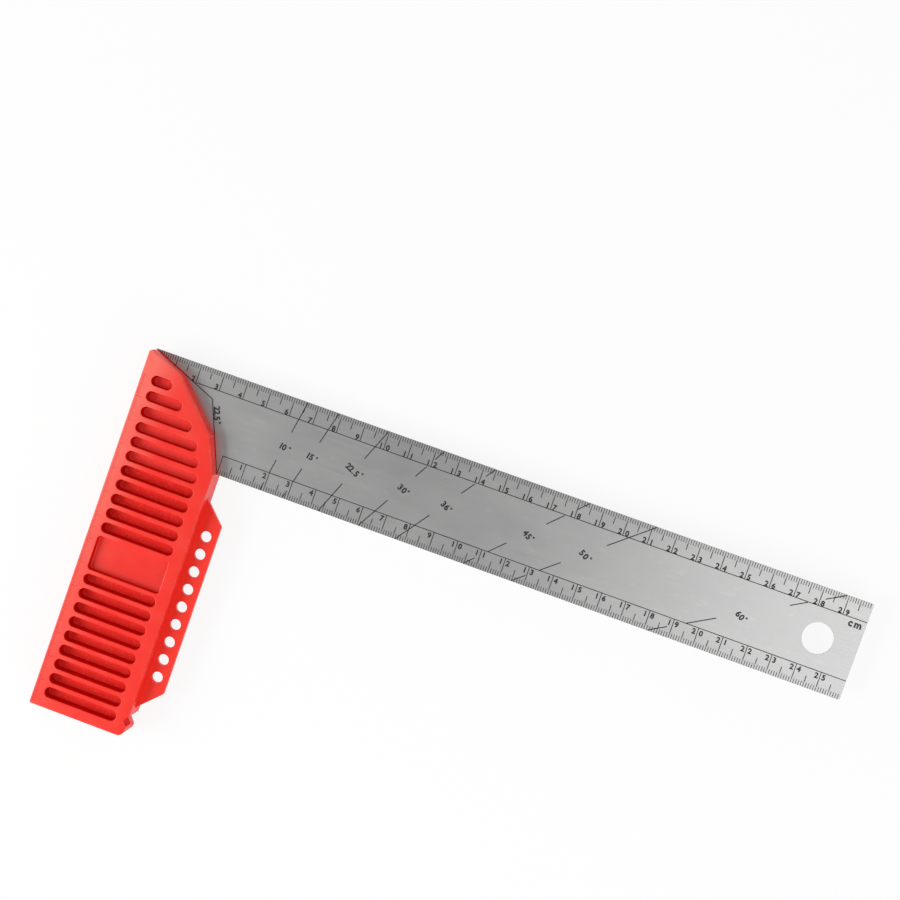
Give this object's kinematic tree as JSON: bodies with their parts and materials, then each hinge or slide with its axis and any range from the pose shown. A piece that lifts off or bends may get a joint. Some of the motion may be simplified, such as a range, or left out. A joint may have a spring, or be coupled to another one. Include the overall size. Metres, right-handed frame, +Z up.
{
  "type": "right angle ruler",
  "caption": "Try and mitre square with a ruled steel blade, a slotted red handle with a mitred end, and a pierced ledge that slides out to lie on the work.",
  "frame": {"origin": "centre of the footprint, on the handle's underside", "axes": "+X along the blade to its free end, +Y from the handle's foot to the blade's outer edge, +Z up out of the slotted face"},
  "size_m": [0.3004, 0.1508, 0.014],
  "materials": {
    "handle_plastic": "satin moulded red",
    "ledge_plastic": "satin moulded red",
    "blade_steel": "fine satin, brushed along the blade",
    "spring_steel": "bright rolled strip",
    "fixing_steel": "zinc plated"
  },
  "bodies": {
    "square": {"blade": "blade_steel", "upper_shell": "handle_plastic", "lower_shell": "handle_plastic", "ledge_spring_1": "spring_steel", "ledge_spring_2": "spring_steel", "blade_dowel_1": "fixing_steel", "blade_dowel_2": "fixing_steel", "shell_screws": "fixing_steel"},
    "ledge": {"ledge": "ledge_plastic"}
  },
  "joints": [
    {"name": "ledge_slide", "type": "slide", "parent": "square", "child": "ledge", "axis": [-1, 0, 0], "range_m": [0, 0.009]}
  ]
}
